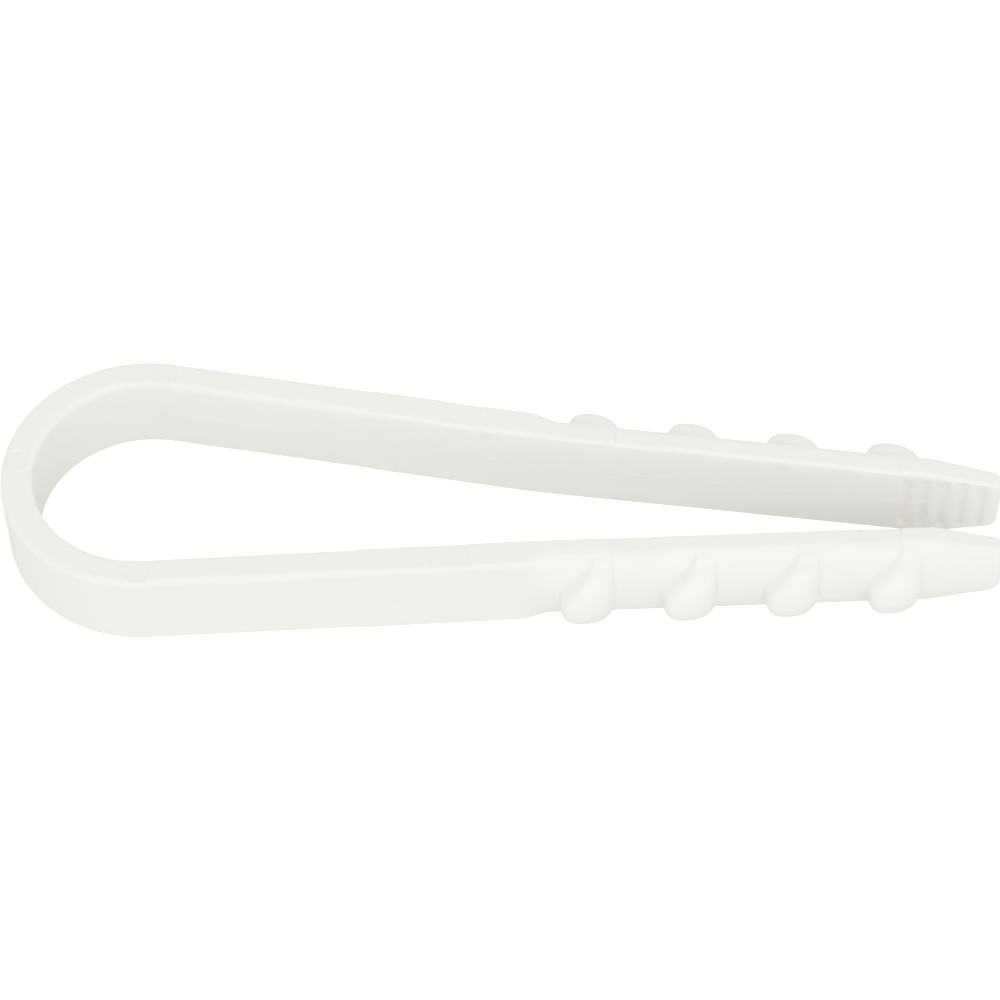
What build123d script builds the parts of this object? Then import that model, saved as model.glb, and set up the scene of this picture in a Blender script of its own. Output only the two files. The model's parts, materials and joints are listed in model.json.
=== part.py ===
"""Cable dowel clamp: a nylon wall anchor moulded as one springy hairpin.

A strap bends round a cable in a teardrop loop, and its two ends are barbed prongs that are
pressed together into one drilled hole. The moulding works by bending, so it is divided at
the places where it bends: the bow, the shoulders and the knees.

Frame: the origin is the cable's centre, halfway across the strap. +X runs to the prong tips,
+Y to the left leg and +Z across the strap. All sizes are in millimetres.
"""

from build123d import *
import os
from math import asin, cos, degrees, radians, sin

# ---- Driving dimensions ----
strap_width = 5.0
strap_thickness = 1.68
edge_radius = 0.3

bow_outer_radius = 7.38
crown_half_angle = 20.0  # the crown spans this much either side of the bow's middle

strap_slope = 6.72  # degrees that the straps close in towards the tips
prong_slope = 5.65
left_relief = 1.65  # degrees that the left knee is straighter than the right one
shoulder_run = 1.6  # straight stretch of the bow beyond its arc
strap_run = 18.4  # shoulder hinge to knee hinge
core_run = 19.1  # knee hinge to the start of the nose
nose_run = 5.3
full_nose_run = 1.5  # first stretch of the nose, before it tapers
taper_run = 1.5  # over which the flat strap turns into the half-round prong

core_edge = 0.85  # thickness of the prong at its two edges
core_middle = 2.05  # thickness of the prong at mid-width
tip_edge = 0.75  # the same at the tip
tip_middle = 1.3
tip_half_width = 1.75
tip_rounding = 0.3

barb_count = 4
barb_pitch = 5.25
first_barb = 2.35  # knee hinge to the apex of the first barb
barb_height = 3.4  # apex above the prong's inner face
barb_foot = 0.4  # how deep the barbs start, above the prong's inner face

groove_count = 5  # grip grooves across the inner face of each nose
groove_pitch = 0.98
groove_width = 0.4
groove_depth = 0.15
first_groove = 0.35  # start of the nose to the first groove
groove_reach = 1.8  # from mid-width towards each edge
tip_flare = 0.3  # the inner face turns outwards by this much at the tip

ejector_mark = 1.2  # diameter of the round ejector marks
shoulder_mark_run = -0.25  # from the end of the bow's arc
blade_mark = 2.2  # length of the rectangular ejector marks
strap_mark_run = 13.8  # shoulder hinge to the middle of the strap's mark
prong_mark_runs = (5.1, 18.0)  # knee hinge to the middles of the prong's two marks
mark_depth = 0.06

hinge_clearance = 0.05
hinge_bore = strap_width + 1  # long enough to cut right across the strap
closed_gap = 0.1  # half the gap left between the prongs when they are pressed together
largest_cable = 18.0  # has to pass between the tips when the loop is pulled open

# ---- Places that follow from them ----
bow_radius = bow_outer_radius - strap_thickness / 2
half_strap = strap_thickness / 2
half_width = strap_width / 2


def direction(slope):
    """Unit vector along the left leg, towards the tips."""
    return Vector(cos(radians(slope)), -sin(radians(slope)), 0)


def outward(slope):
    """Unit vector away from the cable on the left leg."""
    return Vector(sin(radians(slope)), cos(radians(slope)), 0)


crown_angle = 180 - crown_half_angle
crown_hinge = Vector(cos(radians(crown_angle)), sin(radians(crown_angle)), 0) * bow_radius
tangent_point = outward(strap_slope) * bow_radius
shoulder_hinge = tangent_point + direction(strap_slope) * shoulder_run
knee_hinge = shoulder_hinge + direction(strap_slope) * strap_run


def across_leg(start, slope, run):
    """Plane square to the left leg: local X outwards, local Y up, local Z to the tips."""
    origin = start + direction(slope) * run
    return Plane(origin=origin, x_dir=outward(slope), z_dir=direction(slope))


def along_leg(start, slope, run, height):
    """Plane parallel to the strap's edges: local X to the tips, local Y outwards."""
    origin = start + direction(slope) * run + Vector(0, 0, height)
    return Plane(origin=origin, x_dir=direction(slope), z_dir=(0, 0, 1))


def mirrored(left_part, label):
    """The right-hand twin of a left-hand piece."""
    with BuildPart() as twin:
        mirror(left_part, about=Plane.XZ)
    twin.part.label = label
    return twin.part


def knuckle(centre):
    """Round end of a strap: the strap's own section turned about the hinge line."""
    with BuildPart() as end:
        with Locations(centre):
            Cylinder(half_strap, strap_width)
        fillet(end.edges().filter_by(GeomType.CIRCLE), edge_radius)
    return end.part


def prong_section(run, edge, middle, half_height, shift=0.0):
    """Half-round section: flat inner face, two edges and a half ellipse for the outer face."""
    inner = shift - half_strap
    with BuildSketch(across_leg(knee_hinge, prong_slope, run)) as section:
        with BuildLine():
            FilletPolyline(
                (inner + edge, half_height),
                (inner, half_height),
                (inner, -half_height),
                (inner + edge, -half_height),
                radius=edge_radius,
            )
            EllipticalCenterArc(
                (inner + edge, 0), middle - edge, half_height, start_angle=-90, arc_size=180
            )
        make_face()
    return section.sketch


# ---- Crown: the middle of the bow, which carries both halves ----
with BuildPart() as crown:
    with BuildSketch(Plane.XZ.rotated((0, 0, crown_angle))):
        with Locations((bow_radius, 0)):
            RectangleRounded(strap_thickness, strap_width, edge_radius)
    revolve(axis=Axis.Z, revolution_arc=2 * crown_half_angle)
    with Locations(crown_hinge, (crown_hinge.X, -crown_hinge.Y, 0)):
        Cylinder(half_strap + hinge_clearance, hinge_bore, mode=Mode.SUBTRACT)
    with Locations((-bow_radius, 0, half_width)):
        Cylinder(ejector_mark / 2, 2 * mark_depth, mode=Mode.SUBTRACT)
crown.part.label = "crown"

# ---- Bow halves: a quarter of the loop each, with a short straight run to the shoulder ----
crown_knuckle = knuckle(crown_hinge)
bow_start = 90 - strap_slope
with BuildPart() as left_bow:
    with BuildSketch(Plane.XZ.rotated((0, 0, bow_start))):
        with Locations((bow_radius, 0)):
            RectangleRounded(strap_thickness, strap_width, edge_radius)
    revolve(axis=Axis.Z, revolution_arc=crown_angle - bow_start)
    with BuildSketch(across_leg(tangent_point, strap_slope, 0)):
        RectangleRounded(strap_thickness, strap_width, edge_radius)
    extrude(amount=shoulder_run)
    add(crown_knuckle)
    with Locations(shoulder_hinge):
        Cylinder(half_strap + hinge_clearance, hinge_bore, mode=Mode.SUBTRACT)
    with Locations(tangent_point + Vector(shoulder_mark_run, 0, half_width)):
        Cylinder(ejector_mark / 2, 2 * mark_depth, mode=Mode.SUBTRACT)
left_bow.part.label = "left_bow"

# ---- Straps: the flat legs between shoulder and knee ----
shoulder_knuckle = knuckle(shoulder_hinge)
with BuildPart() as left_strap:
    with BuildSketch(across_leg(shoulder_hinge, strap_slope, 0)):
        RectangleRounded(strap_thickness, strap_width, edge_radius)
    extrude(amount=strap_run)
    add(shoulder_knuckle)
    with Locations(knee_hinge):
        Cylinder(half_strap + hinge_clearance, hinge_bore, mode=Mode.SUBTRACT)
    with BuildSketch(along_leg(shoulder_hinge, strap_slope, strap_mark_run, half_width)):
        Rectangle(blade_mark, strap_thickness)
    extrude(amount=-mark_depth, mode=Mode.SUBTRACT)
left_strap.part.label = "left_strap"

# ---- Prong cores: half-round bars that carry the barbs ----
knee_knuckle = knuckle(knee_hinge)
root_bulge = 0.3  # the root is nearly as flat outside as the strap
root_section = prong_section(0, strap_thickness - root_bulge, strap_thickness, half_width)
core_section = prong_section(taper_run, core_edge, core_middle, half_width)
with BuildPart() as left_prong:
    loft([root_section, core_section])
    extrude(core_section, amount=core_run - taper_run)
    add(knee_knuckle)
    for run in prong_mark_runs:
        with BuildSketch(along_leg(knee_hinge, prong_slope, run, half_width)):
            Rectangle(blade_mark, 2 * core_middle)
        extrude(amount=-mark_depth, mode=Mode.SUBTRACT)
left_prong.part.label = "left_prong"

# ---- Noses: the tapered ends, grooved across the inside ----
nose_sections = [
    core_section.moved(Location(direction(prong_slope) * (core_run - taper_run))),
    prong_section(core_run + full_nose_run, core_edge, core_middle, half_width),
    prong_section(
        core_run + nose_run - tip_rounding, tip_edge, tip_middle, tip_half_width, tip_flare
    ),
    prong_section(
        core_run + nose_run,
        tip_edge - 1.3 * tip_rounding,
        tip_middle - 1.6 * tip_rounding,
        tip_half_width - tip_rounding,
        tip_flare + 0.6 * tip_rounding,
    ),
]
with BuildPart() as left_nose:
    loft(nose_sections, ruled=True)
    for groove in range(groove_count):
        into_nose = first_groove + groove * groove_pitch
        flare_share = max(0, into_nose - full_nose_run) / (nose_run - full_nose_run)
        with BuildSketch(along_leg(knee_hinge, prong_slope, core_run + into_nose, 0)):
            with Locations((0, tip_flare * flare_share - half_strap)):
                Rectangle(groove_width, 2 * groove_depth)
        extrude(amount=groove_reach, both=True, mode=Mode.SUBTRACT)
left_nose.part.label = "left_nose"


# ---- Barbs: rounded hooks on the outside, steep towards the bow ----
def barb_outline(plane, rise, back, front):
    """One slice of a barb, seen across the strap: steep back, round crown, long front."""
    foot = barb_foot - half_strap
    crest = rise - half_strap
    length = front - back
    brow = (back, crest - 0.16 * length)
    top = (back + 0.34 * length, crest)
    slope = (back + 0.88 * length, crest - 0.27 * length)
    with BuildSketch(plane) as slice_across:
        with BuildLine():
            Line((back + 0.05 * length, foot), brow)
            ThreePointArc(brow, top, slope)
            Polyline(slope, (front + 0.16 * length, foot), (back + 0.05 * length, foot))
        make_face()
    return slice_across.sketch


barb_levels = (
    # height across the strap as a share, rise of the crest, and back and front along the leg
    (-0.94, 1.34, 0.94, 1.63),
    (-0.5, 2.9, -0.43, 1.79),
    (0.0, barb_height, -0.95, 1.85),
    (0.5, 2.9, -0.43, 1.79),
    (0.94, 1.34, 0.94, 1.63),
)


def barb(index):
    run = first_barb + index * barb_pitch
    slices = []
    for level, rise, back, front in barb_levels:
        plane = along_leg(knee_hinge, prong_slope, run, level * half_width)
        slices.append(barb_outline(plane, rise, back, front))
    with BuildPart() as hook:
        loft(slices)
        add(left_prong.part, mode=Mode.SUBTRACT)
        add(left_nose.part, mode=Mode.SUBTRACT)
    return hook.part


# ---- Every piece, left and right ----
# The left prong, with its nose and barbs, is turned a little about its knee.
os.makedirs("parts", exist_ok=True)
export_step(crown.part, "parts/crown.step")
for name, piece in (("bow", left_bow.part), ("strap", left_strap.part)):
    piece.label = f"left_{name}"
    export_step(piece, f"parts/left_{name}.step")
    export_step(mirrored(piece, f"right_{name}"), f"parts/right_{name}.step")
prong_pieces = {"prong": left_prong.part, "nose": left_nose.part}
for number in range(barb_count):
    prong_pieces[f"barb_{number + 1}"] = barb(number)
for name, piece in prong_pieces.items():
    turned = piece.rotate(Axis(knee_hinge, (0, 0, 1)), left_relief)
    turned.label = f"left_{name}"
    export_step(turned, f"parts/left_{name}.step")
    export_step(mirrored(piece, f"right_{name}"), f"parts/right_{name}.step")

# ---- Hinge places and ranges, for whoever assembles the pieces ----
tip = knee_hinge + direction(prong_slope) * (core_run + nose_run)
reach = (tip - crown_hinge).length
tip_rise = degrees(asin((largest_cable / 2 + half_strap - crown_hinge.Y) / reach))
crown_range = tip_rise + degrees(asin((crown_hinge.Y - tip.Y) / reach))
closed_sine = (shoulder_hinge.Y - closed_gap - half_strap) / strap_run
shoulder_range = degrees(asin(closed_sine)) - strap_slope
knee_range = shoulder_range + prong_slope
print("crown hinge", crown_hinge, "opens", crown_range)
print("shoulder hinge", shoulder_hinge, "closes", shoulder_range)
print("knee hinge", knee_hinge, "turns back", knee_range, "right,", knee_range - left_relief, "left")
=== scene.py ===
"""A cable dowel clamp in natural nylon, lying on a pale studio floor.

The clamp is one moulding: a strap bent round in a teardrop loop, whose two ends are barbed
prongs. The skin of each leg is made in lengths that meet where the strap stays stiff, and each
length runs across one of the places where the real strap bends.
"""

import json
from math import atan2, cos, hypot, pi, radians, sin

import bpy
import numpy as np
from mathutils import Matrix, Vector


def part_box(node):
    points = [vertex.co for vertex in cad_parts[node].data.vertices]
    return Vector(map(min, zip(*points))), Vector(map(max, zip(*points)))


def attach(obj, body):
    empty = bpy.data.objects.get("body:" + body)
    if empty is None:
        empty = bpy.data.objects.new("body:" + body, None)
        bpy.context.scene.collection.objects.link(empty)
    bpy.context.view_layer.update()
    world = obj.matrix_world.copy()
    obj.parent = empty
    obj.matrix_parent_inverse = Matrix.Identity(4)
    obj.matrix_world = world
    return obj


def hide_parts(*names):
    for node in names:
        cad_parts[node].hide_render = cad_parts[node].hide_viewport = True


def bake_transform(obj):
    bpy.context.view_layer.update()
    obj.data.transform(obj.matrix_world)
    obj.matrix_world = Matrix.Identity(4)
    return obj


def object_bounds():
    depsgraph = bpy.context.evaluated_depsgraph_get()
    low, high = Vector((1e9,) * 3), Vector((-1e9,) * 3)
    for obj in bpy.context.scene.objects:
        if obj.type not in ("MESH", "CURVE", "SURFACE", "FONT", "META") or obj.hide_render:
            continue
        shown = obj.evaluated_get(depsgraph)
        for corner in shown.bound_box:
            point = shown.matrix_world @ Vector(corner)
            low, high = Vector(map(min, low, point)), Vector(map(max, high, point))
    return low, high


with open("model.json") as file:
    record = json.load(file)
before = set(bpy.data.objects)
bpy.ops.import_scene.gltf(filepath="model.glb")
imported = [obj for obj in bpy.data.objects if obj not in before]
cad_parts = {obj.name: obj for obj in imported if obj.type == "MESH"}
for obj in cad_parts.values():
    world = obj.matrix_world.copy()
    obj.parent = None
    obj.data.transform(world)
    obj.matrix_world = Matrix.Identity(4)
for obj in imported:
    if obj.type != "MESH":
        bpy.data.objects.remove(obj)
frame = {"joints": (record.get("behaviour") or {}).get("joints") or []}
cad_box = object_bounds()
MM = 0.001


# ---- Bow and crown ----
# The round end of the clamp, which lies against the cable: a flat strap of unfilled polyamide,
# injection moulded in one with the legs. It has a round ejector mark in the middle of the crown,
# and a witness line halfway across, where the two halves of the mould met.

# The nylon comes out of the mould satin and milky white, with a faint mottle, a very fine grain
# from the cavity and slight drag marks along it.


def new_group(name, inputs, outputs):
    """An empty shader node group with these sockets, and its input and output nodes."""
    group = bpy.data.node_groups.new(name, "ShaderNodeTree")
    for label, kind, value in inputs:
        socket = group.interface.new_socket(label, in_out="INPUT", socket_type=kind)
        socket.default_value = value
    for label, kind in outputs:
        group.interface.new_socket(label, in_out="OUTPUT", socket_type=kind)
    return group, group.nodes.new("NodeGroupInput"), group.nodes.new("NodeGroupOutput")


def add_noise(tree, coordinates, scale, detail):
    """A noise texture on these coordinates; scale is a number or a socket."""
    noise = tree.nodes.new("ShaderNodeTexNoise")
    noise.inputs["Detail"].default_value = detail
    if isinstance(scale, (int, float)):
        noise.inputs["Scale"].default_value = scale
    else:
        tree.links.new(scale, noise.inputs["Scale"])
    tree.links.new(coordinates, noise.inputs["Vector"])
    return noise.outputs["Fac"]


def add_math(tree, operation, first, second):
    """A maths node; either value may be a number or a socket."""
    node = tree.nodes.new("ShaderNodeMath")
    node.operation = operation
    for socket, value in zip(node.inputs, (first, second)):
        if isinstance(value, (int, float)):
            socket.default_value = value
        else:
            tree.links.new(value, socket)
    return node.outputs[0]


def mottle_group():
    """Cloudy change of colour, as where the melt cooled at different speeds."""
    group, given, made = new_group(
        "milky_mottle",
        (
            ("Pale", "NodeSocketColor", (1, 1, 1, 1)),
            ("Warm", "NodeSocketColor", (1, 1, 1, 1)),
            ("Cloud Scale", "NodeSocketFloat", 300.0),
        ),
        (("Color", "NodeSocketColor"),),
    )
    place = group.nodes.new("ShaderNodeTexCoord").outputs["Object"]
    clouds = add_noise(group, place, given.outputs["Cloud Scale"], 3.0)
    fleck_scale = add_math(group, "MULTIPLY", given.outputs["Cloud Scale"], 9.0)
    flecks = add_noise(group, place, fleck_scale, 2.0)
    amount = add_math(group, "ADD", clouds, add_math(group, "MULTIPLY", flecks, 0.35))
    ramp = group.nodes.new("ShaderNodeMapRange")
    ramp.inputs["From Min"].default_value = 0.45
    ramp.inputs["From Max"].default_value = 0.9
    group.links.new(amount, ramp.inputs["Value"])
    mix = group.nodes.new("ShaderNodeMix")
    mix.data_type = "RGBA"
    group.links.new(ramp.outputs[0], mix.inputs["Factor"])
    group.links.new(given.outputs["Pale"], mix.inputs["A"])
    group.links.new(given.outputs["Warm"], mix.inputs["B"])
    group.links.new(mix.outputs["Result"], made.inputs["Color"])
    return group


def cavity_grain_group():
    """Fine grain and faint drag lines that the mould's cavity leaves on the skin."""
    group, given, made = new_group(
        "cavity_grain",
        (
            ("Grain Scale", "NodeSocketFloat", 6000.0),
            ("Drag Strength", "NodeSocketFloat", 0.3),
            ("Roughness", "NodeSocketFloat", 0.4),
            ("Roughness Spread", "NodeSocketFloat", 0.1),
        ),
        (("Height", "NodeSocketFloat"), ("Roughness", "NodeSocketFloat")),
    )
    place = group.nodes.new("ShaderNodeTexCoord").outputs["Object"]
    grain = add_noise(group, place, given.outputs["Grain Scale"], 4.0)
    stretch = group.nodes.new("ShaderNodeMapping")
    stretch.inputs["Scale"].default_value = (250.0, 2500.0, 5000.0)
    group.links.new(place, stretch.inputs["Vector"])
    drag = add_noise(group, stretch.outputs["Vector"], 1.0, 2.0)
    drag_part = add_math(group, "MULTIPLY", drag, given.outputs["Drag Strength"])
    group.links.new(add_math(group, "ADD", grain, drag_part), made.inputs["Height"])
    patches = add_noise(group, place, 500.0, 3.0)
    centred = add_math(group, "SUBTRACT", patches, 0.5)
    spread = add_math(group, "MULTIPLY", centred, given.outputs["Roughness Spread"])
    roughness = add_math(group, "ADD", spread, given.outputs["Roughness"])
    group.links.new(roughness, made.inputs["Roughness"])
    return group


def nylon_material():
    """The finish of the whole moulding: mottled in colour, and grained in height and roughness."""
    material = bpy.data.materials.new("natural_nylon")
    material.use_nodes = True
    tree = material.node_tree
    shader = tree.nodes["Principled BSDF"]
    shader.inputs["IOR"].default_value = 1.53
    shader.inputs["Specular IOR Level"].default_value = 0.45
    mottle = tree.nodes.new("ShaderNodeGroup")
    mottle.node_tree = mottle_group()
    mottle.inputs["Pale"].default_value = (0.885, 0.864, 0.812, 1)
    mottle.inputs["Warm"].default_value = (0.872, 0.846, 0.78, 1)
    mottle.inputs["Cloud Scale"].default_value = 260.0
    tree.links.new(mottle.outputs["Color"], shader.inputs["Base Color"])
    grain = tree.nodes.new("ShaderNodeGroup")
    grain.node_tree = cavity_grain_group()
    grain.inputs["Grain Scale"].default_value = 5200.0
    grain.inputs["Drag Strength"].default_value = 0.35
    grain.inputs["Roughness"].default_value = 0.42
    grain.inputs["Roughness Spread"].default_value = 0.16
    tree.links.new(grain.outputs["Roughness"], shader.inputs["Roughness"])
    bump = tree.nodes.new("ShaderNodeBump")
    bump.inputs["Strength"].default_value = 0.35
    bump.inputs["Distance"].default_value = 0.012 * MM
    tree.links.new(grain.outputs["Height"], bump.inputs["Height"])
    tree.links.new(bump.outputs["Normal"], shader.inputs["Normal"])
    return material


nylon = nylon_material()

# The strap's own sizes, and its line from the crown to the tip, which runs through the hinges.
hinge = {joint["name"]: joint["pos_m"] for joint in frame["joints"]}
strap_thickness = 1.68 * MM
strap_half_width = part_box("crown")[1].z
edge_radius = 0.4 * MM
prong_slope = {1: radians(4.0), -1: radians(5.65)}  # the left knee has set a little straighter
prong_length = 24.4 * MM  # knee to tip

bow_radius = hypot(*hinge["left_crown_flex"][:2])
shoulder_x, shoulder_y = hinge["left_shoulder_flex"][:2]
knee_x, knee_y = hinge["left_knee_flex"][:2]
strap_slope = atan2(shoulder_y - knee_y, knee_x - shoulder_x)
arc_run = bow_radius * (pi / 2 + strap_slope)
shoulder_run = arc_run + hypot(
    shoulder_x - bow_radius * sin(strap_slope), shoulder_y - bow_radius * cos(strap_slope)
)
knee_run = shoulder_run + hypot(knee_x - shoulder_x, knee_y - shoulder_y)
tip_run = knee_run + prong_length


def smooth_step(value, start, end):
    """0 before start, 1 after end, and an even S between them."""
    share = np.clip((value - start) / (end - start), 0, 1)
    return share * share * (3 - 2 * share)


line_run = np.linspace(-3 * MM, tip_run, 6001)
knee_curve = 1.5 * MM  # half the run over which the middle line turns at the knee


def middle_line(side):
    """Heading, x and y of a leg's middle line, at each line_run from the crown to the tip."""
    heading = np.where(line_run < arc_run, pi / 2 - line_run / bow_radius, -strap_slope)
    bend = smooth_step(line_run, knee_run - knee_curve, knee_run + knee_curve)
    heading += (strap_slope - prong_slope[side]) * bend
    step = np.diff(line_run)
    between = (heading[1:] + heading[:-1]) / 2
    x = np.concatenate(([0], np.cumsum(np.cos(between) * step)))
    y = np.concatenate(([0], np.cumsum(np.sin(between) * step)))
    return heading, x - bow_radius - np.interp(0, line_run, x), y - np.interp(0, line_run, y)


middle_lines = {side: middle_line(side) for side in (1, -1)}


def on_line(run, outward, height, side):
    """Points at these runs along the leg, this far outwards of its middle line."""
    heading, x, y = (np.interp(run, line_run, values) for values in middle_lines[side])
    x, y = x - np.sin(heading) * outward, (y + np.cos(heading) * outward) * side
    return np.stack((x, y, height), -1)


# How the outline of the strap is divided: the same points go round every ring of the skin.
CORNER_POINTS = 5
FACE_ANGLE = radians(64)  # where the corner of the strap meets the half ellipse of the prong
BESIDE_LINE = (-0.05, -0.025, -0.01, 0, 0.01, 0.025, 0.05)
INNER_SHARES = np.concatenate(
    (np.linspace(-1, -0.1, 14), BESIDE_LINE, np.linspace(0.1, 1, 14))
)
OUTER_SHARES = np.concatenate(
    (np.linspace(1, 0.06, 22), (0.03, 0.012, 0, -0.012, -0.03), np.linspace(-0.06, -1, 22))
)
TOP_SHARES = np.linspace(0, 1, 26)
LOW_SHARES = np.linspace(0, 1, 8)
INNER_COUNT = len(INNER_SHARES)
TOP_START = INNER_COUNT + CORNER_POINTS
OUTER_START = TOP_START + len(TOP_SHARES) + CORNER_POINTS
OUTER_END = OUTER_START + len(OUTER_SHARES)


def outline(edge, middle, half_width, shift, roundness):
    """Outlines for a row of rings, outward and height, one row for each ring. Roundness 0 is the
    flat strap, and 1 the prong: a half ellipse, edge to middle, outside a flat inner face."""
    values = np.broadcast_arrays(*np.atleast_1d(edge, middle, half_width, shift, roundness))
    edge, middle, half_width, shift, roundness = (value[:, None] for value in values)
    radius = np.minimum(edge_radius, 0.4 * edge)
    inner = shift - strap_thickness / 2
    flat_up = half_width - radius
    turn = np.linspace(0, 1, CORNER_POINTS + 2)[1:-1][None, :]
    shape = []

    def put(out, up, round_out=None, round_up=None):
        if round_out is not None:
            out = out + (round_out - out) * roundness
            up = up + (round_up - up) * roundness
        shape.append(np.stack(np.broadcast_arrays(out, up)))

    def ellipse(angle):
        return inner + edge + (middle - edge) * np.cos(angle), half_width * np.sin(angle)

    put(inner, INNER_SHARES[None, :] * flat_up)
    angle = pi - turn * pi / 2
    put(inner + radius + radius * np.cos(angle), flat_up + radius * np.sin(angle))
    upper_start, upper_end = inner + radius, inner + middle - radius
    put(
        upper_start + (upper_end - upper_start) * TOP_SHARES[None, :],
        half_width,
        upper_start + (inner + edge - upper_start) * TOP_SHARES[None, :],
        half_width,
    )
    flat_angle = pi / 2 * (1 - turn)
    round_angle = pi / 2 - (pi / 2 - FACE_ANGLE) * turn
    corner_out = upper_end + radius * np.cos(flat_angle)
    corner_up = flat_up + radius * np.sin(flat_angle)
    put(corner_out, corner_up, *ellipse(round_angle))
    face_up = flat_up * OUTER_SHARES[None, :]
    put(inner + middle, face_up, *ellipse(np.arcsin(sin(FACE_ANGLE) * OUTER_SHARES[None, :])))
    put(corner_out[:, ::-1], -corner_up[:, ::-1], *ellipse(-round_angle[:, ::-1]))
    lower_start = inner + middle - radius
    put(
        lower_start + (inner + radius - lower_start) * LOW_SHARES[None, :],
        -half_width,
        inner + edge + (radius - edge) * LOW_SHARES[None, :],
        -half_width,
    )
    angle = -pi / 2 - turn * pi / 2
    put(inner + radius + radius * np.cos(angle), -flat_up + radius * np.sin(angle))
    shape = [np.broadcast_to(part, (2, len(inner), part.shape[2])) for part in shape]
    full = np.concatenate(shape, 2)
    return full[0].copy(), full[1].copy()


witness_height = 0.022 * MM
witness_half_width = 0.035 * MM
sink_depth = 0.004 * MM


def witness_line(run, outward, height):
    """Raises the faint, broken line that the mould leaves halfway across both faces."""
    broken = 0.6 + 0.4 * np.sin(run / (1.9 * MM)) * np.sin(run / (0.73 * MM) + 1.0)
    ridge = witness_height * broken * np.exp(-((height / witness_half_width) ** 2))
    inner = np.zeros(outward.shape[1], bool)
    inner[:INNER_COUNT] = True
    return outward + np.where(inner[None, :], -ridge, ridge)


def unevenness(run, outward, height):
    """The slight sink and swell of a moulded strap as it cools."""
    swell = np.sin(run / (2.7 * MM)) + 0.6 * np.sin(run / (1.3 * MM) + 2.0) + np.sin(height / MM)
    return outward + sink_depth * swell


round_mark_radius = 0.6 * MM
round_mark_soft = 0.03 * MM  # how far the mark's edge is softened each way
round_mark_depth = 0.055 * MM
rim_radius = 0.66 * MM
rim_height = 0.034 * MM
rim_half_width = 0.04 * MM


def round_mark(run, outward, height, mark_run, mark_out):
    """Presses the round face of an ejector pin into the upper edge, with a thin raised rim."""
    distance = np.hypot(run - mark_run, outward - mark_out)
    upper = smooth_step(height, strap_half_width - 0.3 * MM, strap_half_width - 0.1 * MM)
    outside = smooth_step(
        distance, round_mark_radius - round_mark_soft, round_mark_radius + round_mark_soft
    )
    rim = rim_height * np.exp(-(((distance - rim_radius) / rim_half_width) ** 2))
    return height + upper * (rim - round_mark_depth * (1 - outside))


def fine_between(start, end, spacing, *marks):
    """Runs from start to end, with closer ones at each mark, given as (middle, half, spacing)."""
    runs = [np.linspace(start, end, 2 + int((end - start) / spacing))]
    for middle, half, close in marks:
        low, high = max(start, middle - half), min(end, middle + half)
        if low < high:
            keep = (runs[0] < low) | (runs[0] > high)
            runs[0] = runs[0][keep]
            runs.append(np.linspace(low, high, 2 + int((high - low) / close)))
    joined = np.unique(np.round(np.concatenate(runs), 9))
    joined[0], joined[-1] = start, end
    return joined


def make_skin(name, points, side):
    """A closed mesh from rings of points, with flat ends that don't soften the shading."""
    rings, around = points.shape[:2]
    corner = np.arange(rings * around).reshape(rings, around)
    after = np.roll(corner, -1, axis=1)
    quads = np.stack((corner[:-1], corner[1:], after[1:], after[:-1]), axis=-1).reshape(-1, 4)
    faces = quads.tolist() + [corner[0].tolist(), corner[-1, ::-1].tolist()]
    if side > 0:
        faces = [face[::-1] for face in faces]
    mesh = bpy.data.meshes.new(name)
    mesh.from_pydata(points.reshape(-1, 3).tolist(), [], faces)
    mesh.shade_smooth()
    sharp = mesh.attributes.new("sharp_edge", "BOOLEAN", "EDGE")
    pairs = np.zeros(len(mesh.edges) * 2, np.int32)
    mesh.edges.foreach_get("vertices", pairs)
    first, second = pairs.reshape(-1, 2).T
    in_first = np.isin(first, corner[0]) & np.isin(second, corner[0])
    in_last = np.isin(first, corner[-1]) & np.isin(second, corner[-1])
    sharp.data.foreach_set("value", in_first | in_last)
    mesh.materials.append(nylon)
    piece = bpy.data.objects.new(name, mesh)
    bpy.context.collection.objects.link(piece)
    return piece


def strap_rings(runs):
    """Runs, outward and height for the flat strap at these runs."""
    outward, height = outline(strap_thickness, strap_thickness, strap_half_width, 0, 0)
    run = np.repeat(runs[:, None], outward.shape[1], axis=1)
    outward = np.repeat(outward, len(runs), axis=0)
    height = np.repeat(height, len(runs), axis=0)
    return run, outward, height


bow_middle_run = 7.5 * MM  # where the bow stays stiff, and one length of skin meets the next
crown_half = 1.0 * MM
bow_spacing = 0.12 * MM
mark_zone = 0.8 * MM
mark_spacing = 0.04 * MM
crown_mark_run, crown_mark_out = 0.25 * MM, 0.07 * MM
for side_name, side in (("left", 1), ("right", -1)):
    # The left length carries the whole middle of the crown, and the right one starts beside it.
    start = -side * crown_half
    marked = (crown_mark_run, mark_zone, mark_spacing)
    runs = fine_between(start, bow_middle_run, bow_spacing, marked)
    run, outward, height = strap_rings(runs)
    outward = unevenness(run, witness_line(run, outward, height), height)
    height = round_mark(run, outward, height, crown_mark_run, crown_mark_out)
    band = make_skin(f"{side_name}_crown_band", on_line(run, outward, height, side), side)
    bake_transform(band)
    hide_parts("crown", f"{side_name}_bow")


# ---- Straps ----
# The two flat legs, which run straight from the shoulders and close in towards the prongs.
# Each has a round ejector mark in its upper edge, just before the shoulder.

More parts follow.
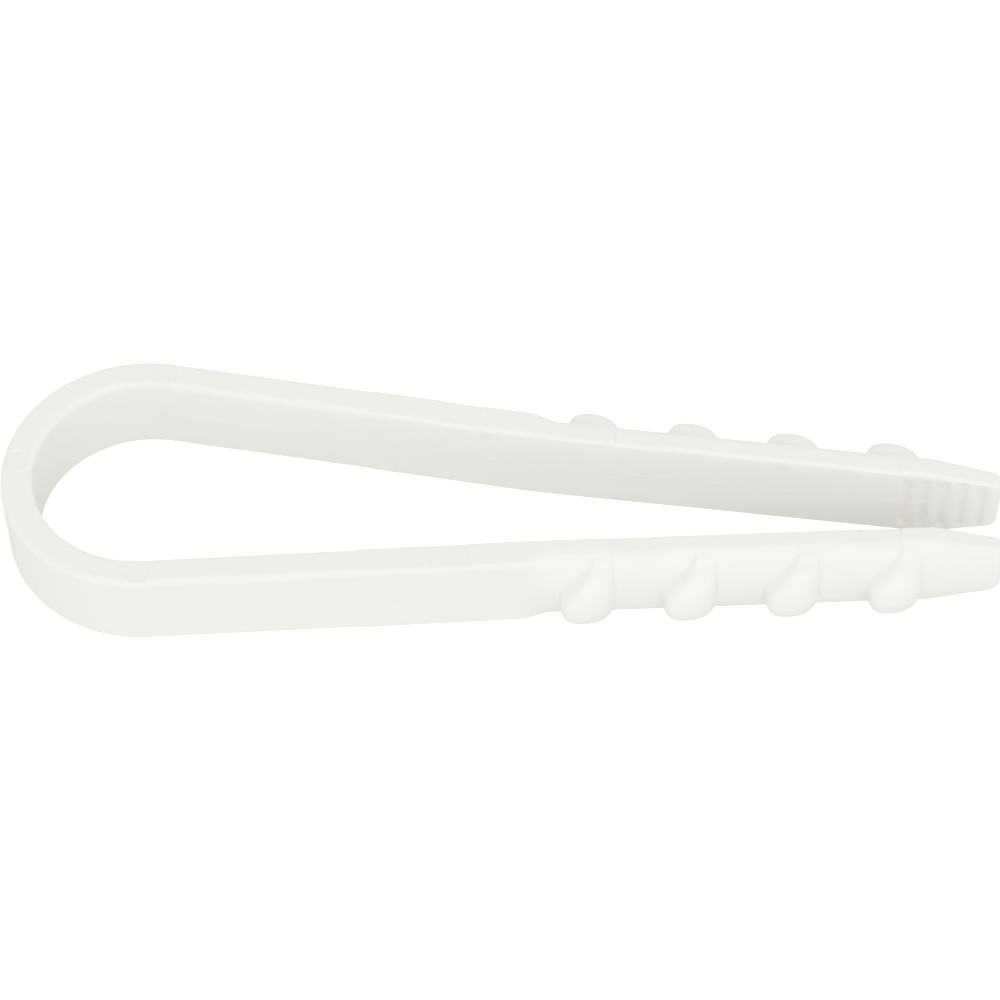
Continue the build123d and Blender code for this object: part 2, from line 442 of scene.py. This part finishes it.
strap_middle_run = 22.0 * MM
strap_spacing = 0.16 * MM
shoulder_mark_run, shoulder_mark_out = shoulder_run - 1.85 * MM, 0.05 * MM
for side_name, side in (("left", 1), ("right", -1)):
    marked = (shoulder_mark_run, mark_zone, mark_spacing)
    runs = fine_between(bow_middle_run, strap_middle_run, strap_spacing, marked)
    run, outward, height = strap_rings(runs)
    outward = unevenness(run, witness_line(run, outward, height), height)
    height = round_mark(run, outward, height, shoulder_mark_run, shoulder_mark_out)
    band = make_skin(f"{side_name}_shoulder_band", on_line(run, outward, height, side), side)
    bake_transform(band)
    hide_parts(f"{side_name}_bow", f"{side_name}_strap")


# ---- Prongs, barbs and noses ----
# The half-round ends that go into the drilled hole, moulded with the strap: flat inside so that
# they lie together, round outside, with four barbs each that are steep towards the loop. The
# noses taper and have grip grooves inside, and long ejector marks lie along the upper edges.

core_edge = 0.76 * MM
core_middle = 2.0 * MM
prong_start = knee_run + 1.15 * MM
nose_run = knee_run + 20.5 * MM  # where the taper starts
taper_ease = 0.12  # these two round off the start of the taper
taper_onset = 0.08
tip_edge = 0.75 * MM
tip_middle = 1.35 * MM
tip_half_width = 1.72 * MM
tip_flare = 0.3 * MM  # how far the inner face turns outwards at the tip
tip_rounding = 0.5 * MM


def prong_rings(runs):
    """Outward and height of the prong's own outline, with no barbs, at these runs."""
    turned = smooth_step(runs, knee_run - 0.75 * MM, knee_run + 1.0 * MM)
    taper = np.clip((runs - nose_run) / (tip_run - nose_run), 0, 1)
    eased = taper - taper_ease * (np.exp(-taper / taper_ease) - np.exp(-1 / taper_ease))
    onset = taper / (taper + taper_onset) * (1 + taper_onset)
    taper = np.where(taper > 0, eased * onset, 0)
    into_end = np.clip((runs - (tip_run - tip_rounding)) / tip_rounding, 0, 1)
    fall = tip_rounding * (1 - np.sqrt(np.maximum(1 - into_end**2, 0)))
    edge = core_edge + (tip_edge - core_edge) * taper - 0.7 * fall
    middle = core_middle + (tip_middle - core_middle) * taper - 0.9 * fall
    middle = strap_thickness + (middle - strap_thickness) * turned
    half_width = strap_half_width + (tip_half_width - strap_half_width) * taper - 0.8 * fall
    return outline(edge, middle, half_width, tip_flare * taper + 0.3 * fall, turned)


barb_count = 4
barb_pitch = 5.3 * MM
barb_height = 3.36 * MM  # above the inner face
barb_length = 2.85 * MM
barb_top_share = 0.34  # how far along the barb its crest lies
first_barb_back = {1: knee_run + 1.24 * MM, -1: knee_run + 1.36 * MM}
back_sweep = 1.78 * MM  # how much later the back starts beside the prong's edges
front_sweep = 0.22 * MM
neck_height = 0.25 * MM  # the low web that carries the barb down to the prong's edges
crest_reach = 0.8  # how much of the half width stands above the neck
back_power = 0.62  # the lower these are, the squarer the barb's back and front
front_power = 1.1
barb_fillet = 0.1 * MM


def barb_grid(heel, zone_start, zone_end, steps, width_share):
    """Rings round one barb, whose lines follow its own back, crest and front.
    Gives their runs and how far they stand above the prong, at these shares of the half width."""
    share = np.abs(width_share)
    swing = np.minimum(share / 0.95, 1)
    back = heel + back_sweep * (3 * swing**2 - 2 * swing**3) ** 1.7
    front = heel + barb_length - front_sweep * share**2
    top = back + barb_top_share * (front - back)
    crown = np.maximum(1 - (share / crest_reach) ** 2, 0) ** 0.7
    neck = np.maximum(1 - share**9, 0)
    crest = (barb_height - core_middle - neck_height) * crown + neck_height * neck
    foot = barb_fillet * neck
    rows = []
    for part in np.linspace(0, 1, steps[0], endpoint=False):
        runs = zone_start + (back - zone_start) * part ** 0.7
        rows.append((runs, foot * np.exp(-(back - runs) / barb_fillet)))
    for turn in np.linspace(0, pi / 2, steps[1], endpoint=False):
        rise = crest * sin(turn) ** back_power
        rows.append((top + (back - top) * cos(turn) ** back_power, np.hypot(rise, foot)))
    for turn in np.linspace(0, pi / 2, steps[2], endpoint=False):
        rise = crest * cos(turn) ** front_power
        rows.append((top + (front - top) * sin(turn), np.hypot(rise, foot)))
    for part in np.linspace(0, 1, steps[3]):
        runs = front + (zone_end - front) * part**1.4
        rows.append((runs, foot * np.exp(-(runs - front) / barb_fillet)))
    rows[0] = (rows[0][0], np.zeros_like(share))
    rows[-1] = (rows[-1][0], np.zeros_like(share))
    return np.array([row[0] for row in rows]), np.array([row[1] for row in rows])


core_out, core_up = outline(core_edge, core_middle, strap_half_width, 0, 1)
width_share = np.clip(core_up[0] / strap_half_width, -1, 1)
# How much a point of the outline follows the barbs' lines: all of it outside, none inside.
follow = smooth_step(core_out[0] + strap_thickness / 2, 0, core_edge)
last_barb_zone = 3.5 * MM  # from the last barb's back to where the nose's plain rings start
next_barb_gap = 0.6 * MM


def prong_rows(side):
    """Runs and rises of all the rings of a prong, from its first barb to its tip."""
    run_rows, rise_rows = [], []
    zone_start = prong_start
    for number in range(barb_count):
        heel = first_barb_back[side] + number * barb_pitch
        last = number == barb_count - 1
        zone_end = heel + (last_barb_zone if last else barb_pitch - next_barb_gap)
        # How many rings there are before the back, up it, down the front, and after it.
        steps = (5 if number else 4, 14, 18, 24 if last else 10)
        places, rises = barb_grid(heel, zone_start, zone_end, steps, width_share)
        plain = np.linspace(zone_start, zone_end, len(places))[:, None]
        run_rows.append((plain + (places - plain) * follow[None, :])[:-1])
        rise_rows.append(rises[:-1])
        zone_start = zone_end
    into_tip = np.sin(np.linspace(0, pi / 2, 12))
    nose_runs = np.concatenate(
        (
            np.linspace(zone_start, tip_run - tip_rounding, 40, endpoint=False),
            tip_run - tip_rounding + tip_rounding * into_tip,
        )
    )
    run_rows.append(np.repeat(nose_runs[:, None], len(width_share), axis=1))
    rise_rows.append(np.zeros((len(nose_runs), len(width_share))))
    return np.concatenate(run_rows), np.concatenate(rise_rows)


def prong_surface(run, rise):
    """Outward and height for points whose run differs along each ring."""
    outward, height = np.empty_like(run), np.empty_like(run)
    for column in range(run.shape[1]):
        out_all, up_all = prong_rings(run[:, column])
        outward[:, column] = out_all[:, column]
        height[:, column] = up_all[:, column]
    outer = slice(OUTER_START, OUTER_END)
    outward[:, outer] += rise[:, outer]
    return outward, height


groove_runs = [knee_run + (19.42 + 0.98 * number) * MM for number in range(5)]
groove_width = 0.48 * MM
groove_depth = 0.16 * MM
groove_ends = (0.55 * MM, 0.8 * MM)  # they fade out between these distances from the edges


def grip_grooves(run, outward, height):
    """Cuts the grip grooves across the inner face of the nose."""
    fade = smooth_step(strap_half_width - np.abs(height), *groove_ends)
    cut = sum(
        np.exp(-(np.abs((run - groove) / (groove_width / 2)) ** 3)) for groove in groove_runs
    )
    inner = np.zeros(run.shape[1])
    inner[:INNER_COUNT] = 1
    return outward + groove_depth * cut * fade * inner[None, :]


long_mark_depth = 0.075 * MM
strap_mark_run, strap_mark_length = 26.75 * MM, 2.15 * MM
prong_marks = ((knee_run + 5.15 * MM, 2.3 * MM), (knee_run + 18.0 * MM, 2.1 * MM))


def long_mark(run, height, mark_run, length):
    """Presses the long face of an ejector blade into the upper edge."""
    upper = smooth_step(height, strap_half_width - 0.3 * MM, strap_half_width - 0.05 * MM)
    ends = smooth_step(length / 2 - np.abs(run - mark_run), -0.02 * MM, 0.03 * MM)
    return height - long_mark_depth * upper * ends


for side_name, side in (("left", 1), ("right", -1)):
    runs = fine_between(
        strap_middle_run,
        prong_start,
        strap_spacing,
        (strap_mark_run - strap_mark_length / 2, 0.1 * MM, 0.02 * MM),
        (strap_mark_run + strap_mark_length / 2, 0.1 * MM, 0.02 * MM),
        (knee_run + 0.6 * MM, 1.2 * MM, 0.08 * MM),
    )
    outward, height = prong_rings(runs)
    run = np.repeat(runs[:, None], outward.shape[1], axis=1)
    outward = unevenness(run, witness_line(run, outward, height), height)
    height = long_mark(run, height, strap_mark_run, strap_mark_length)
    band = make_skin(f"{side_name}_knee_band", on_line(run, outward, height, side), side)
    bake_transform(band)
    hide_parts(f"{side_name}_strap", f"{side_name}_prong")

    prong_run, prong_rise = prong_rows(side)
    outward, height = prong_surface(prong_run, prong_rise)
    outward = grip_grooves(prong_run, outward, height)
    outward = unevenness(prong_run, witness_line(prong_run, outward, height), height)
    for mark_run, mark_length in prong_marks:
        height = long_mark(prong_run, height, mark_run, mark_length)
    points = on_line(prong_run, outward, height, side)
    prong = make_skin(f"{side_name}_barbed_prong", points, side)
    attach(prong, f"{side_name}_prong")
    barb_names = [f"{side_name}_barb_{number + 1}" for number in range(barb_count)]
    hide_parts(f"{side_name}_prong", f"{side_name}_nose", *barb_names)


# ---- Floor, light and camera ----
# A plain pale floor that shows as pure white, in soft light from all round and a little more
# from the front and above, and a long lens that looks down on the clamp.

floor_mesh = bpy.data.meshes.new("studio_floor")
floor_reach = 1.5
floor_level = cad_box[0].z - 0.02 * MM
floor_corners = ((-1, -1), (1, -1), (1, 1), (-1, 1))
floor_mesh.from_pydata(
    [(x * floor_reach, y * floor_reach, floor_level) for x, y in floor_corners], [], [(0, 1, 2, 3)]
)
floor = bpy.data.objects.new("studio_floor", floor_mesh)
bpy.context.collection.objects.link(floor)
paper = bpy.data.materials.new("white_paper")
paper.use_nodes = True
paper_shader = paper.node_tree.nodes["Principled BSDF"]
paper_shader.inputs["Base Color"].default_value = (0.76, 0.76, 0.76, 1)
paper_shader.inputs["Roughness"].default_value = 0.9
paper_shader.inputs["Specular IOR Level"].default_value = 0.0
paper_shader.inputs["Emission Color"].default_value = (1, 1, 1, 1)
light_path = paper.node_tree.nodes.new("ShaderNodeLightPath")
paper.node_tree.links.new(
    light_path.outputs["Is Camera Ray"], paper_shader.inputs["Emission Strength"]
)
floor_mesh.materials.append(paper)

middle = (cad_box[0] + cad_box[1]) / 2


def soft_panel(name, direction, distance, size, power):
    """A square soft light that looks at the middle of the clamp."""
    light = bpy.data.lights.new(name, "AREA")
    light.shape = "SQUARE"
    light.size = size
    light.energy = power
    lamp = bpy.data.objects.new(name, light)
    away = np.array(direction) / np.linalg.norm(direction)
    lamp.location = [middle[k] + away[k] * distance for k in range(3)]
    lamp.rotation_mode = "QUATERNION"
    lamp.rotation_quaternion = (middle - lamp.location).to_track_quat("-Z", "Y")
    bpy.context.collection.objects.link(lamp)


soft_panel("front_panel", direction=(0.1, -0.65, 1.0), distance=0.5, size=0.45, power=0.9)
soft_panel("back_panel", direction=(0.2, 1.0, 0.9), distance=0.6, size=0.5, power=0.1)

# The studio's walls are brighter than its ceiling, so that upright faces are lit as well.
world = bpy.data.worlds.new("white_studio")
bpy.context.scene.world = world
world.use_nodes = True
sky = world.node_tree
sky.nodes["Background"].inputs["Color"].default_value = (1, 1, 1, 1)
view_line = sky.nodes.new("ShaderNodeTexCoord").outputs["Generated"]
parts = sky.nodes.new("ShaderNodeSeparateXYZ")
sky.links.new(view_line, parts.inputs["Vector"])
walls = sky.nodes.new("ShaderNodeMapRange")
walls.inputs["To Min"].default_value = 1.15
walls.inputs["To Max"].default_value = 0.3
sky.links.new(parts.outputs["Z"], walls.inputs["Value"])
sky.links.new(walls.outputs[0], sky.nodes["Background"].inputs["Strength"])

camera_data = bpy.data.cameras.new("camera")
camera_data.lens = 126.5
camera_data.sensor_width = 36
camera_data.clip_start = 0.01
camera_data.clip_end = 10
camera = bpy.data.objects.new("camera", camera_data)
bpy.context.collection.objects.link(camera)
look_at = type(middle)((18.68 * MM, 0.94 * MM, 0.0))
azimuth, elevation, camera_distance = radians(3.21), radians(52.94), 185.2 * MM
away = type(middle)(
    (sin(azimuth) * cos(elevation), -cos(azimuth) * cos(elevation), sin(elevation))
)
camera.location = look_at + away * camera_distance
camera.rotation_mode = "QUATERNION"
camera.rotation_quaternion = (-away).to_track_quat("-Z", "Y")
bpy.context.scene.camera = camera
look = bpy.context.scene.view_settings
look.view_transform = "Standard"
look.gamma = 1.9  # a high-key studio exposure, with little contrast in the whites
look.exposure = 0.05
